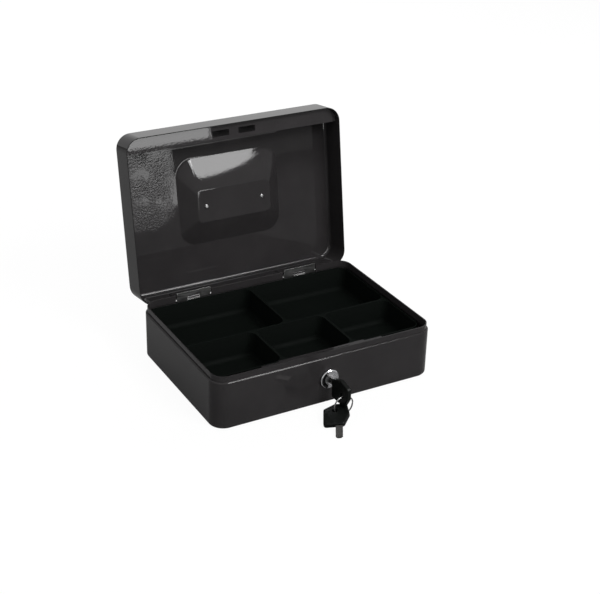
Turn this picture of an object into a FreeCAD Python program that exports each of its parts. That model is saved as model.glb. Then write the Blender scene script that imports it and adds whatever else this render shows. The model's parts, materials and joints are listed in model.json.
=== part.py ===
import FreeCAD, Part
import math
import os
import re
import Sketcher

# Steel cash box with a hinged lid, a rotary claw lock, a recessed carrying handle, a coin tray
# and two keys on a ring. Millimetres and degrees. +X is right, +Y is back, +Z is up, and the
# origin is the centre of the base's underside. The lid is drawn shut and placed open.

doc = FreeCAD.newDocument("cash_box")
sheet = doc.addObject("Spreadsheet::Sheet", "Sizes")

SIZES = (
    # Base
    ("box_width", "250"),
    ("box_depth", "180"),
    ("corner_radius", "16"),
    ("base_sheet", "1.0"),
    ("shoulder_height", "52"),
    ("shoulder_radius", "1.5"),
    ("floor_radius", "3"),
    ("lip_inset", "1.8"),
    ("lip_height", "6"),
    # Lid
    ("lid_height", "32"),
    ("lid_sheet", "0.8"),
    ("lid_bend", "4"),
    ("rim_gap", "0.3"),
    ("lid_open_angle", "98.65"),
    # Handle well drawn into the lid
    ("well_width", "120"),
    ("well_length", "95"),
    ("well_corner", "18"),
    ("well_shift", "-4.5"),
    ("well_depth", "13"),
    ("well_floor_width", "86"),
    ("well_floor_length", "35"),
    ("well_floor_corner", "5"),
    ("well_floor_shift", "-1"),
    ("well_skirt", "0.25"),
    ("well_bend", "3.5"),
    # Hinges
    ("hinge_inset", "0.6"),
    ("hinge_rise", "0.7"),
    ("hinge_offset", "64.8"),
    ("hinge_length", "39"),
    ("leaf_sheet", "0.8"),
    ("base_leaf_drop", "14"),
    ("base_leaf_rise", "8.3"),
    ("joggle_drop", "3"),
    ("joggle_rise", "0.8"),
    ("lid_leaf_height", "17"),
    ("knuckle_radius", "1.7"),
    ("knuckle_width", "14"),
    ("knuckle_gap", "0.4"),
    ("knuckle_room", "0.5"),
    ("pin_radius", "1.0"),
    ("pin_clearance", "0.05"),
    ("notch_margin", "1.5"),
    ("notch_room", "0.8"),
    # Catch flange in the lid
    ("catch_height", "8"),
    ("catch_depth", "17"),
    ("catch_sheet", "1.0"),
    ("catch_leg", "11"),
    ("weld_gap", "0.1"),
    ("slot_inner", "5.5"),
    ("slot_length", "19.7"),
    ("slot_width", "6.5"),
    ("slot_corner", "1.0"),
    # Handle
    ("bracket_spacing", "66.6"),
    ("bracket_width", "6"),
    ("bracket_depth", "8"),
    ("pivot_shift", "-0.5"),
    ("pivot_height", "9"),
    ("bail_radius", "2.5"),
    ("bail_clearance", "0.1"),
    ("bail_leg_gap", "1.7"),
    ("bail_pin_end", "0.6"),
    ("bail_turn", "3.5"),
    ("bail_reach", "26"),
    ("bail_corner", "8"),
    ("rivet_radius", "1.3"),
    ("rivet_head_radius", "2.2"),
    ("rivet_head_height", "1.1"),
    ("rivet_top_radius", "1.1"),
    ("rivet_rim", "0.4"),
    ("rivet_grip", "3"),
    ("rivet_clearance", "0.05"),
    # Lock
    ("lock_height", "28.2"),
    ("lock_face_radius", "10.25"),
    ("lock_face_depth", "3.5"),
    ("lock_face_bevel", "0.8"),
    ("barrel_radius", "8.25"),
    ("barrel_clearance", "0.15"),
    ("washer_radius", "12"),
    ("washer_sheet", "0.8"),
    ("nut_flats", "22"),
    ("nut_corner_radius", "12.3"),
    ("nut_height", "3"),
    ("plug_radius", "5.75"),
    ("plug_clearance", "0.05"),
    ("plug_recess", "0.2"),
    ("keyway_width", "2.4"),
    ("keyway_height", "7.4"),
    ("keyway_depth", "11"),
    ("shank_width", "7"),
    ("shank_clearance", "0.05"),
    ("screw_head_radius", "4.6"),
    ("screw_top_radius", "3.2"),
    ("screw_head_height", "1.6"),
    ("screw_rim", "0.8"),
    ("screw_radius", "1.5"),
    ("screw_length", "3.2"),
    # Claw
    ("claw_setback", "10.6"),
    ("claw_sheet", "2"),
    ("claw_gap", "0.6"),
    ("claw_rise", "9.8"),
    ("claw_band", "4"),
    ("claw_tip_angle", "35"),
    ("claw_tail_angle", "42"),
    ("claw_turn", "90"),
    ("claw_arm_angle", "40"),
    ("claw_arm_width", "8"),
    ("claw_hub_radius", "7"),
    # Lock cover
    ("cover_sheet", "1.0"),
    ("cover_reach", "17"),
    ("cover_width", "98"),
    ("cover_bend", "1.5"),
    ("wing_span", "138"),
    ("wing_reach", "14"),
    ("slit_left", "13"),
    ("slit_right", "31"),
    ("slit_width", "4.5"),
    ("slit_corner", "2"),
    # Coin tray and its rests
    ("tray_gap", "0.5"),
    ("tray_rest_height", "22"),
    ("tray_seat_gap", "0.2"),
    ("tray_height", "27.4"),
    ("tray_corner", "13"),
    ("tray_wall", "2"),
    ("tray_floor", "1.6"),
    ("tray_draft", "4"),
    ("tray_divider", "2.4"),
    ("tray_front_row", "66"),
    ("front_cup_count", "3"),
    ("back_cup_count", "2"),
    ("cup_corner", "9"),
    ("cup_edge", "5"),
    ("rest_length", "110"),
    ("rest_ledge", "11"),
    ("rest_leg", "12"),
    ("rest_sheet", "1.0"),
    # Keys and ring
    ("blade_sheet", "2"),
    ("blade_height", "7"),
    ("blade_nose", "1.75"),
    ("blade_insert", "10.4"),
    ("blade_neck", "6.5"),
    ("blade_tongue", "7"),
    ("blade_clearance", "0.05"),
    ("bit_depth", "1.6"),
    ("bit_width", "2.2"),
    ("bit_pitch", "2.4"),
    ("bow_sheet", "5"),
    ("bow_length", "30"),
    ("bow_rise", "10.6"),
    ("bow_drop", "15.5"),
    ("bow_shoulder", "5"),
    ("bow_crest", "15"),
    ("bow_heel", "23"),
    ("bow_end_rise", "8"),
    ("bow_end_drop", "4.5"),
    ("bow_corner", "3"),
    ("bow_edge", "1.2"),
    ("bow_hole_radius", "2.75"),
    ("bow_hole_reach", "20"),
    ("bow_hole_drop", "3.75"),
    ("ring_radius", "10.5"),
    ("ring_wire", "0.7"),
    ("ring_seat", "0.3"),
    ("spare_ring_angle", "60"),
    ("spare_heading_angle", "29.8"),
    ("spare_pitch_angle", "9"),
    ("spare_roll_angle", "8"),
)

for row, (alias, value) in enumerate(SIZES, 1):
    sheet.set(f"A{row}", alias)
    sheet.set(f"B{row}", value)
    sheet.setAlias(f"B{row}", alias)
doc.recompute()

NAMES = {alias for alias, value in SIZES}


def formula(text):
    """A formula in size names, as the document's expressions write it."""
    return re.sub(r"[a-z_]+", lambda m: "Sizes." + m[0] if m[0] in NAMES else m[0], text)


def number(text):
    """The present value of a formula in size names."""
    filled = re.sub(r"[a-z_]+", lambda m: f"({sheet.get(m[0])})" if m[0] in NAMES else m[0], text)
    return FreeCAD.Units.parseQuantity(filled).Value


def bind(thing, **paths):
    """Tie properties to formulas; a double underscore in a key stands for a dot."""
    for path, text in paths.items():
        thing.setExpression(path.replace("__", "."), formula(text))


# Places that several pieces share
HINGE_Y = "(box_depth / 2 - hinge_inset)"
HINGE_Z = "(shoulder_height + hinge_rise)"
RIM = "(shoulder_height + rim_gap)"
LID_TOP = "(shoulder_height + lid_height)"
WELL_FLOOR = "(shoulder_height + lid_height - well_depth)"
PIVOT_Z = "(shoulder_height + lid_height - well_depth + pivot_height)"
BRACKET_X = "(bracket_spacing / 2)"
CLAW_Y = "(box_depth / 2 - claw_setback)"
CLAW_INNER = "(shoulder_height + claw_rise - lock_height)"
CLAW_OUTER = "(shoulder_height + claw_rise + claw_band - lock_height)"
LOCK_FACE = "(box_depth / 2 + lock_face_depth)"
PLUG_FACE = "(box_depth / 2 + lock_face_depth - plug_recess)"
BARREL_END = "(box_depth / 2 - claw_setback + claw_sheet / 2 + claw_gap)"
BOW_FACE = "(box_depth / 2 + lock_face_depth + blade_neck)"
BASE_INSIDE = "(box_depth / 2 - base_sheet)"
LIP_INSIDE = "(box_depth / 2 - lip_inset - base_sheet)"
COVER_BACK = "(box_depth / 2 - cover_reach)"


def new_body(label):
    body = doc.addObject("PartDesign::Body", label)
    body.Label = label
    return body


def new_sketch(body, name, role, out="0", right="0", up="0"):
    """A sketch on one of the body's origin planes, moved out, right and up by formulas."""
    sketch = body.newObject("Sketcher::SketchObject", body.Label + "_" + name)
    planes = [p for p in body.Origin.OriginFeatures if p.Role == role]
    sketch.AttachmentSupport = [(planes[0], "")]
    sketch.MapMode = "FlatFace"
    bind(sketch, AttachmentOffset__Base__x=right, AttachmentOffset__Base__y=up, AttachmentOffset__Base__z=out)
    return sketch


def measure(sketch, kind, text, *points):
    """A dimension in a sketch whose value is a formula."""
    index = sketch.addConstraint(Sketcher.Constraint(kind, *points, number(text)))
    sketch.setExpression(f"Constraints[{index}]", formula(text))


def spot(sketch, geometry, end, x, y):
    """Fix one point of a sketch at a position from its origin."""
    measure(sketch, "DistanceX", x, -1, 1, geometry, end)
    measure(sketch, "DistanceY", y, -1, 1, geometry, end)


def polygon(sketch, corners):
    """A closed outline through corners given as pairs of formulas."""
    points = [FreeCAD.Vector(number(x), number(y), 0) for x, y in corners]
    lines = [Part.LineSegment(a, b) for a, b in zip(points, points[1:] + points[:1])]
    ids = list(sketch.addGeometry(lines, False))
    for here, after in zip(ids, ids[1:] + ids[:1]):
        sketch.addConstraint(Sketcher.Constraint("Coincident", here, 2, after, 1))
    for here, (x, y) in zip(ids, corners):
        spot(sketch, here, 1, x, y)


def rectangle(sketch, left, low, right, high):
    polygon(sketch, ((left, low), (right, low), (right, high), (left, high)))


def circle(sketch, radius, x="0", y="0"):
    centre = FreeCAD.Vector(number(x), number(y), 0)
    index = sketch.addGeometry(Part.Circle(centre, FreeCAD.Vector(0, 0, 1), number(radius)), False)
    spot(sketch, index, 3, x, y)
    measure(sketch, "Radius", radius, index)


def rounded(sketch, width, depth, radius, x="0", y="0"):
    """A rectangle with rounded corners round a centre."""
    half_w = number(width) / 2
    half_d = number(depth) / 2
    r = number(radius)
    cx = number(x)
    cy = number(y)
    ids = []
    for quarter in range(4):
        turn = math.radians(90 * quarter)
        reach, along = (half_d, half_w) if quarter % 2 == 0 else (half_w, half_d)
        out = FreeCAD.Vector(math.sin(turn), -math.cos(turn), 0)
        way = FreeCAD.Vector(math.cos(turn), math.sin(turn), 0)
        middle = FreeCAD.Vector(cx, cy, 0) + out * reach
        ends = (middle - way * (along - r), middle + way * (along - r))
        ids.append(sketch.addGeometry(Part.LineSegment(*ends), False))
        round_it = Part.Circle(ends[1] - out * r, FreeCAD.Vector(0, 0, 1), r)
        arc = Part.ArcOfCircle(round_it, turn - math.pi / 2, turn)
        ids.append(sketch.addGeometry(arc, False))
    for here, after in zip(ids, ids[1:] + ids[:1]):
        sketch.addConstraint(Sketcher.Constraint("Tangent", here, 2, after, 1))
    for side, kind in zip(ids[::2], ("Horizontal", "Vertical", "Horizontal", "Vertical")):
        sketch.addConstraint(Sketcher.Constraint(kind, side))
    for arc in ids[3::2]:
        sketch.addConstraint(Sketcher.Constraint("Equal", ids[1], arc))
    measure(sketch, "Radius", radius, ids[1])
    measure(sketch, "DistanceX", f"{width} - 2 * ({radius})", ids[0], 1, ids[0], 2)
    measure(sketch, "DistanceY", f"{depth} - 2 * ({radius})", ids[2], 1, ids[2], 2)
    spot(sketch, ids[1], 3, f"{x} + ({width}) / 2 - ({radius})", f"{y} - ({depth}) / 2 + ({radius})")


def extrude(body, kind, name, sketch, length, back=False, both=False, taper="0"):
    feature = body.newObject("PartDesign::" + kind, body.Label + "_" + name)
    feature.Profile = sketch
    feature.Reversed = back
    if both:
        feature.SideType = "Symmetric"
    bind(feature, Length=length, TaperAngle=taper)
    sketch.Visibility = False
    doc.recompute()
    return feature


def revolve(body, name, sketch, axis="H_Axis"):
    feature = body.newObject("PartDesign::Revolution", body.Label + "_" + name)
    feature.Profile = sketch
    feature.ReferenceAxis = (sketch, [axis])
    feature.Angle = 360
    doc.recompute()
    return feature


def round_edges(body, name, radius, wanted):
    """Round the edges of the body so far whose middle passes a test."""
    base = body.Tip
    chosen = []
    for index, edge in enumerate(base.Shape.Edges, 1):
        middle = edge.valueAt((edge.FirstParameter + edge.LastParameter) / 2)
        if wanted(edge, middle):
            chosen.append(f"Edge{index}")
    feature = body.newObject("PartDesign::Fillet", body.Label + "_" + name)
    feature.Base = (base, chosen)
    bind(feature, Radius=radius)
    doc.recompute()
    return feature


CLOSE = 1e-4


def level(height):
    """Test for edges that lie flat at a height."""
    z = number(height)
    return lambda edge, middle: edge.BoundBox.ZLength < CLOSE and abs(middle.z - z) < CLOSE


def on_lid(piece, extra=FreeCAD.Placement()):
    """Swing a piece drawn on the shut lid to the open lid."""
    pivot = FreeCAD.Vector(0, number(HINGE_Y), number(HINGE_Z))
    swing = FreeCAD.Rotation(FreeCAD.Vector(1, 0, 0), -number("lid_open_angle"))
    piece.Placement = FreeCAD.Placement(FreeCAD.Vector(), swing, pivot) * extra


# Base shell: deep tray with a joggled lip that the lid fits over
base = new_body("base_shell")
outline = new_sketch(base, "outline", "XY_Plane")
rounded(outline, "box_width", "box_depth", "corner_radius")
extrude(base, "Pad", "walls", outline, "shoulder_height")
round_edges(base, "shoulder_edge", "shoulder_radius", level("shoulder_height"))
lip = new_sketch(base, "lip_outline", "XY_Plane", "shoulder_height - base_sheet")
rounded(lip, "box_width - 2 * lip_inset", "box_depth - 2 * lip_inset", "corner_radius - lip_inset")
extrude(base, "Pad", "lip", lip, "lip_height + base_sheet")
mouth = new_sketch(base, "mouth_outline", "XY_Plane", "base_sheet")
rounded(mouth, "box_width - 2 * lip_inset - 2 * base_sheet", "box_depth - 2 * lip_inset - 2 * base_sheet",
        "corner_radius - lip_inset - base_sheet")
extrude(base, "Pocket", "mouth", mouth, "shoulder_height + lip_height", back=True)
inside = new_sketch(base, "inside_outline", "XY_Plane", "base_sheet")
rounded(inside, "box_width - 2 * base_sheet", "box_depth - 2 * base_sheet", "corner_radius - base_sheet")
extrude(base, "Pocket", "inside", inside, "shoulder_height - 2 * base_sheet", back=True)
round_edges(base, "floor_inside", "floor_radius - base_sheet", level("base_sheet"))
round_edges(base, "floor_edge", "floor_radius", level("0"))

# Hole for the lock barrel in the front wall, and a gap in the back wall for each hinge
barrel_hole = new_sketch(base, "lock_hole", "XZ_Plane", up="lock_height")
circle(barrel_hole, "barrel_radius + barrel_clearance")
extrude(base, "Pocket", "lock_hole_cut", barrel_hole, "box_depth", back=True)
for side, sign in (("left", "-1"), ("right", "1")):
    gap = new_sketch(base, "hinge_gap_" + side, "XZ_Plane", right=f"{sign} * hinge_offset")
    half = "(hinge_length / 2 + notch_margin)"
    rectangle(gap, f"-{half}", f"{HINGE_Z} - knuckle_radius - notch_room",
              half, "shoulder_height + 2 * lip_height")
    extrude(base, "Pocket", "hinge_gap_cut_" + side, gap, "box_depth")

# Lid shell: shallow pan with a handle well drawn down into its panel
lid = new_body("lid_shell")
outline = new_sketch(lid, "outline", "XY_Plane", RIM)
rounded(outline, "box_width", "box_depth", "corner_radius")
extrude(lid, "Pad", "pan", outline, "lid_height - rim_gap")
inside = new_sketch(lid, "inside_outline", "XY_Plane", RIM)
rounded(inside, "box_width - 2 * lid_sheet", "box_depth - 2 * lid_sheet", "corner_radius - lid_sheet")
extrude(lid, "Pocket", "inside", inside, "lid_height - rim_gap - lid_sheet", back=True)
round_edges(lid, "panel_inside", "lid_bend - lid_sheet", level(f"{LID_TOP} - lid_sheet"))
round_edges(lid, "panel_edge", "lid_bend", level(LID_TOP))


def well_sections(tag, drop, grow):
    """The well's outline at the panel and at its floor, lowered and widened for a skin."""
    top = new_sketch(lid, tag + "_top", "XY_Plane", f"{LID_TOP} - {drop}")
    rounded(top, f"well_width + 2 * {grow}", f"well_length + 2 * {grow}", f"well_corner + {grow}",
            y="well_shift")
    floor = new_sketch(lid, tag + "_floor", "XY_Plane", f"{WELL_FLOOR} - {drop}")
    rounded(floor, f"well_floor_width + 2 * {grow}", f"well_floor_length + 2 * {grow}",
            f"well_floor_corner + {grow}", y="well_floor_shift")
    return top, floor


def around_well(height):
    """Test for edges at a height that belong to the well and not to the panel's rim."""
    flat = level(height)
    reach_x = number("well_width / 2 + well_skirt") + CLOSE
    reach_y = number("well_length / 2 + well_skirt") + CLOSE
    middle_y = number("well_shift")
    return lambda edge, middle: (flat(edge, middle) and abs(middle.x) < reach_x
                                 and abs(middle.y - middle_y) < reach_y)


for kind, tag, drop, grow, brim, foot in (
        ("AdditiveLoft", "skin", "lid_sheet", "well_skirt", "well_bend - lid_sheet", "well_bend"),
        ("SubtractiveLoft", "well", "0", "0", "well_bend", "well_bend - lid_sheet")):
    top, floor = well_sections(tag, drop, grow)
    loft = lid.newObject("PartDesign::" + kind, "lid_" + tag)
    loft.Profile = top
    loft.Sections = [floor]
    loft.Ruled = True
    doc.recompute()
    round_edges(lid, tag + "_brim", brim, around_well(f"{LID_TOP} - {drop}"))
    round_edges(lid, tag + "_foot", foot, around_well(f"{WELL_FLOOR} - {drop}"))
for side, sign in (("left", "-1"), ("right", "1")):
    gap = new_sketch(lid, "hinge_gap_" + side, "XZ_Plane", right=f"{sign} * hinge_offset")
    half = "(hinge_length / 2 + notch_margin)"
    rectangle(gap, f"-{half}", "shoulder_height - lip_height",
              half, f"{HINGE_Z} + knuckle_radius + notch_room")
    extrude(lid, "Pocket", "hinge_gap_cut_" + side, gap, "box_depth")
    hole = new_sketch(lid, "rivet_hole_" + side, "XY_Plane", WELL_FLOOR,
                      f"{sign} * {BRACKET_X}", "pivot_shift")
    circle(hole, "rivet_radius + rivet_clearance")
    extrude(lid, "Pocket", "rivet_hole_cut_" + side, hole, "well_depth")
on_lid(lid)

# Catch flange: angle strip behind the lid's front wall, slotted for the claw
catch = new_body("lid_catch_flange")
sheet_in = "(lid_sheet + weld_gap)"
catch_z = "(shoulder_height + catch_height)"
outline = new_sketch(catch, "outline", "XY_Plane", catch_z)
rounded(outline, f"box_width - 2 * {sheet_in}", f"box_depth - 2 * {sheet_in}", f"corner_radius - {sheet_in}")
extrude(catch, "Pad", "plate", outline, "catch_sheet")
trim = new_sketch(catch, "trim_outline", "XY_Plane", catch_z)
rectangle(trim, "-box_width", f"-box_depth / 2 + {sheet_in} + catch_depth", "box_width", "box_depth")
extrude(catch, "Pocket", "trim", trim, "2 * catch_sheet", back=True)
leg = new_sketch(catch, "leg_outline", "XY_Plane", catch_z)
rectangle(leg, "-box_width / 2 + corner_radius", f"-box_depth / 2 + {sheet_in}",
          "box_width / 2 - corner_radius", f"-box_depth / 2 + {sheet_in} + catch_sheet")
extrude(catch, "Pad", "leg", leg, "catch_leg")
for side, sign in (("left", "-1"), ("right", "1")):
    slot = new_sketch(catch, "slot_" + side, "XY_Plane", catch_z)
    rounded(slot, "slot_length", "slot_width", "slot_corner", x=f"{sign} * (slot_inner + slot_length / 2)",
            y=f"-{CLAW_Y}")
    extrude(catch, "Pocket", "slot_cut_" + side, slot, "2 * catch_sheet", back=True)
on_lid(catch)

# Hinges: a joggled leaf on the base with two knuckles, a leaf on the lid with one, and a pin
lip_face = "(box_depth / 2 - lip_inset)"
lid_face = "(box_depth / 2 - lid_sheet)"
for side, sign in (("left", "-1"), ("right", "1")):
    along = f"{sign} * hinge_offset"
    leaf = new_body("hinge_leaf_base_" + side)
    strip = new_sketch(leaf, "strip", "YZ_Plane", along)
    low = "(shoulder_height - base_leaf_drop)"
    bend_low = "(shoulder_height - joggle_drop)"
    bend_high = "(shoulder_height - joggle_rise)"
    high = "(shoulder_height + base_leaf_rise)"
    polygon(strip, ((f"{BASE_INSIDE} - leaf_sheet", low), (BASE_INSIDE, low), (BASE_INSIDE, bend_low),
                    (lip_face, bend_high), (lip_face, high), (f"{lip_face} - leaf_sheet", high),
                    (f"{lip_face} - leaf_sheet", bend_high), (f"{BASE_INSIDE} - leaf_sheet", bend_low)))
    extrude(leaf, "Pad", "plate", strip, "hinge_length", both=True)
    barrel = new_sketch(leaf, "barrel", "YZ_Plane", along)
    circle(barrel, "knuckle_radius", HINGE_Y, HINGE_Z)
    extrude(leaf, "Pad", "knuckles", barrel, "hinge_length", both=True)
    slot = new_sketch(leaf, "slot", "YZ_Plane", along)
    reach = "(knuckle_radius + knuckle_room)"
    rectangle(slot, f"{HINGE_Y} - 2 * {reach}", f"{HINGE_Z} - {reach}", f"{HINGE_Y} + {reach}",
              f"{HINGE_Z} + {reach}")
    extrude(leaf, "Pocket", "slot_cut", slot, "knuckle_width + 2 * knuckle_gap", both=True)
    bore = new_sketch(leaf, "bore", "YZ_Plane", along)
    circle(bore, "pin_radius + pin_clearance", HINGE_Y, HINGE_Z)
    extrude(leaf, "Pocket", "bore_cut", bore, "2 * hinge_length", both=True)

    leaf = new_body("hinge_leaf_lid_" + side)
    strip = new_sketch(leaf, "strip", "YZ_Plane", along)
    low = f"({HINGE_Z} + {reach})"
    rectangle(strip, f"{lid_face} - leaf_sheet", low, lid_face, f"{HINGE_Z} + {reach} + lid_leaf_height")
    extrude(leaf, "Pad", "plate", strip, "hinge_length", both=True)
    strap = new_sketch(leaf, "strap", "YZ_Plane", along)
    rectangle(strap, f"{lid_face} - leaf_sheet", HINGE_Z, lid_face, low)
    extrude(leaf, "Pad", "strap_plate", strap, "knuckle_width", both=True)
    barrel = new_sketch(leaf, "barrel", "YZ_Plane", along)
    circle(barrel, "knuckle_radius", HINGE_Y, HINGE_Z)
    extrude(leaf, "Pad", "knuckle", barrel, "knuckle_width", both=True)
    bore = new_sketch(leaf, "bore", "YZ_Plane", along)
    circle(bore, "pin_radius + pin_clearance", HINGE_Y, HINGE_Z)
    extrude(leaf, "Pocket", "bore_cut", bore, "2 * knuckle_width", both=True)
    on_lid(leaf)

    pin = doc.addObject("Part::Cylinder", "hinge_pin_" + side)
    pin.Placement.Rotation = FreeCAD.Rotation(FreeCAD.Vector(0, 1, 0), 90)
    bind(pin, Radius="pin_radius", Height="hinge_length", Placement__Base__x=f"{along} - hinge_length / 2",
         Placement__Base__y=HINGE_Y, Placement__Base__z=HINGE_Z)

# Handle: two posts riveted to the well's floor carry a bail that folds down into the well
for side, sign in (("left", "-1"), ("right", "1")):
    post = new_body("handle_bracket_" + side)
    along = f"{sign} * {BRACKET_X}"
    block = new_sketch(post, "block", "YZ_Plane", along)
    rectangle(block, "pivot_shift - bracket_depth / 2", WELL_FLOOR,
              "pivot_shift + bracket_depth / 2", PIVOT_Z)
    extrude(post, "Pad", "post", block, "bracket_width", both=True)
    crown = new_sketch(post, "crown", "YZ_Plane", along)
    circle(crown, "bracket_depth / 2", "pivot_shift", PIVOT_Z)
    extrude(post, "Pad", "crown_round", crown, "bracket_width", both=True)
    eye = new_sketch(post, "eye", "YZ_Plane", along)
    circle(eye, "bail_radius + bail_clearance", "pivot_shift", PIVOT_Z)
    extrude(post, "Pocket", "eye_cut", eye, "2 * bracket_width", both=True)
    hole = new_sketch(post, "rivet_hole", "XY_Plane", WELL_FLOOR, along, "pivot_shift")
    circle(hole, "rivet_radius + rivet_clearance")
    extrude(post, "Pocket", "rivet_hole_cut", hole, "rivet_grip", back=True)
    on_lid(post)

    rivet = new_body("handle_rivet_" + side)
    profile = new_sketch(rivet, "profile", "XZ_Plane", "-pivot_shift", along, f"{WELL_FLOOR} - lid_sheet")
    polygon(profile, (("0", "-rivet_head_height"), ("rivet_top_radius", "-rivet_head_height"),
                      ("rivet_head_radius", "-rivet_rim"), ("rivet_head_radius", "0"),
                      ("rivet_radius", "0"), ("rivet_radius", "lid_sheet + rivet_grip - rivet_clearance"),
                      ("0", "lid_sheet + rivet_grip - rivet_clearance")))
    revolve(rivet, "turned", profile, "V_Axis")
    on_lid(rivet)

bail = new_body("handle_bail")
leg_x = f"({BRACKET_X} + bracket_width / 2 + bail_leg_gap + bail_radius)"
pin_x = f"({BRACKET_X} - bracket_width / 2 - bail_pin_end)"
path = new_sketch(bail, "path", "XY_Plane", PIVOT_Z, up="pivot_shift")
ids = []
bends = []
turns = ((f"-{pin_x}", "0", ""), (f"-{leg_x}", "0", "bail_turn"), (f"-{leg_x}", "bail_reach", "bail_corner"),
         (leg_x, "bail_reach", "bail_corner"), (leg_x, "0", "bail_turn"), (pin_x, "0", ""))
corners = [FreeCAD.Vector(number(x), number(y), 0) for x, y, bend in turns]
start = corners[0]
for before, here, after, turn in zip(corners, corners[1:], corners[2:], turns[1:]):
    r = number(turn[2])
    come = (here - before).normalize()
    leave = (after - here).normalize()
    ids.append(path.addGeometry(Part.LineSegment(start, here - come * r), False))
    knee = here - come * r + leave * r
    arc = Part.Arc(here - come * r, knee + (here - knee).normalize() * r, here + leave * r)
    ids.append(path.addGeometry(arc, False))
    bends.append((ids[-1], turn[2]))
    start = here + leave * r
ids.append(path.addGeometry(Part.LineSegment(start, corners[-1]), False))
for here, after in zip(ids, ids[1:]):
    ends = (path.getPoint(here, 1), path.getPoint(here, 2))
    nexts = (path.getPoint(after, 1), path.getPoint(after, 2))
    gaps = [(ends[a].distanceToPoint(nexts[b]), a, b) for a in (0, 1) for b in (0, 1)]
    gap, a, b = min(gaps)
    path.addConstraint(Sketcher.Constraint("Tangent", here, a + 1, after, b + 1))
for line, kind in zip(ids[::2], ("Horizontal", "Vertical", "Horizontal", "Vertical", "Horizontal")):
    path.addConstraint(Sketcher.Constraint(kind, line))
for arc, bend in bends:
    measure(path, "Radius", bend, arc)
spot(path, ids[0], 1, f"-{pin_x}", "0")
spot(path, ids[-1], 2, pin_x, "0")
measure(path, "DistanceX", f"-{leg_x}", -1, 1, ids[2], 1)
measure(path, "DistanceX", leg_x, -1, 1, ids[6], 1)
measure(path, "DistanceY", "bail_reach", -1, 1, ids[4], 1)
wire = new_sketch(bail, "wire", "YZ_Plane", f"-{pin_x}")
circle(wire, "bail_radius", "pivot_shift", PIVOT_Z)
doc.recompute()
rod = bail.newObject("PartDesign::AdditivePipe", "handle_bail_rod")
rod.Profile = wire
rod.Spine = (path, [f"Edge{n}" for n in range(1, len(ids) + 1)])
doc.recompute()
# With the lid open the bail hangs plumb, so it stands off the well by the lid's lean
lean = FreeCAD.Rotation(FreeCAD.Vector(1, 0, 0), number("lid_open_angle") - 90)
pivot = FreeCAD.Vector(0, number("pivot_shift"), number(PIVOT_Z))
on_lid(bail, FreeCAD.Placement(FreeCAD.Vector(), lean, pivot))

# Lock: flanged barrel through the front wall, held by a washer and a nut
lock = new_body("lock_body")
profile = new_sketch(lock, "profile", "YZ_Plane", up="lock_height")
front = f"-{LOCK_FACE}"
bore = "(plug_radius + plug_clearance)"
polygon(profile, ((front, bore), (front, "lock_face_radius - lock_face_bevel"),
                  (f"{front} + lock_face_bevel", "lock_face_radius"), ("-box_depth / 2", "lock_face_radius"),
                  ("-box_depth / 2", "barrel_radius"), (f"-{BARREL_END}", "barrel_radius"),
                  (f"-{BARREL_END}", bore)))
revolve(lock, "turned", profile)

washer = new_body("lock_washer")
ring = new_sketch(washer, "outline", "XZ_Plane", BASE_INSIDE, up="lock_height")
circle(ring, "washer_radius")
circle(ring, "barrel_radius + barrel_clearance")
extrude(washer, "Pad", "disc", ring, "washer_sheet", back=True)

nut = new_body("lock_nut")
blank = new_sketch(nut, "outline", "XZ_Plane", f"{BASE_INSIDE} - washer_sheet", up="lock_height")
circle(blank, "nut_corner_radius")
circle(blank, "barrel_radius + barrel_clearance")
extrude(nut, "Pad", "ring", blank, "nut_height", back=True)
flats = new_sketch(nut, "flats", "XZ_Plane", f"{BASE_INSIDE} - washer_sheet", up="lock_height")
rectangle(flats, "nut_flats / 2", "-nut_flats", "nut_flats", "nut_flats")
flat_cut = extrude(nut, "Pocket", "flat_cut", flats, "nut_height")
around = nut.newObject("PartDesign::PolarPattern", "lock_nut_flats_around")
around.Originals = [flat_cut]
around.Axis = (flats, ["N_Axis"])
around.Angle = 360
around.Occurrences = 6
nut.Tip = around
doc.recompute()

# Plug with its keyway, and a square shank that turns the claw
plug = new_body("lock_plug")
face = new_sketch(plug, "face", "XZ_Plane", PLUG_FACE, up="lock_height")
circle(face, "plug_radius")
extrude(plug, "Pad", "cylinder", face, f"{PLUG_FACE} - {BARREL_END}", back=True)
square = new_sketch(plug, "shank_outline", "XZ_Plane", BARREL_END, up="lock_height")
rectangle(square, "-shank_width / 2", "-shank_width / 2", "shank_width / 2", "shank_width / 2")
extrude(plug, "Pad", "shank", square, "claw_gap + claw_sheet", back=True)
way = new_sketch(plug, "keyway_outline", "XZ_Plane", PLUG_FACE, up="lock_height")
rectangle(way, "-keyway_width / 2", "-keyway_height / 2", "keyway_width / 2", "keyway_height / 2")
extrude(plug, "Pocket", "keyway", way, "keyway_depth")
tap = new_sketch(plug, "screw_hole", "XZ_Plane", f"{CLAW_Y} - claw_sheet / 2", up="lock_height")
circle(tap, "screw_radius + pin_clearance")
extrude(plug, "Pocket", "screw_hole_cut", tap, "screw_length + pin_clearance", back=True)

# Claw: a hooked sector on an arm, turned away to the side while the box is unlocked
claw_back = f"{CLAW_Y} - claw_sheet / 2"
upright = FreeCAD.Rotation(FreeCAD.Vector(1, 0, 0), 90)


def disc(name, radius, angle="360", turn="0", high="claw_sheet"):
    """A disc or sector in the claw's plane, its first edge turned up from +X."""
    piece = doc.addObject("Part::Cylinder", name)
    spin = FreeCAD.Rotation(FreeCAD.Vector(0, 0, 1), number(turn))
    piece.Placement.Rotation = upright * spin
    bind(piece, Radius=radius, Height=high, Angle=angle, Placement__Base__y=f"-({claw_back})",
         Placement__Base__z="lock_height")
    return piece


def joined(kind, name, first, second):
    piece = doc.addObject("Part::" + kind, name)
    piece.Base = first
    piece.Tool = second
    return piece


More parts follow.
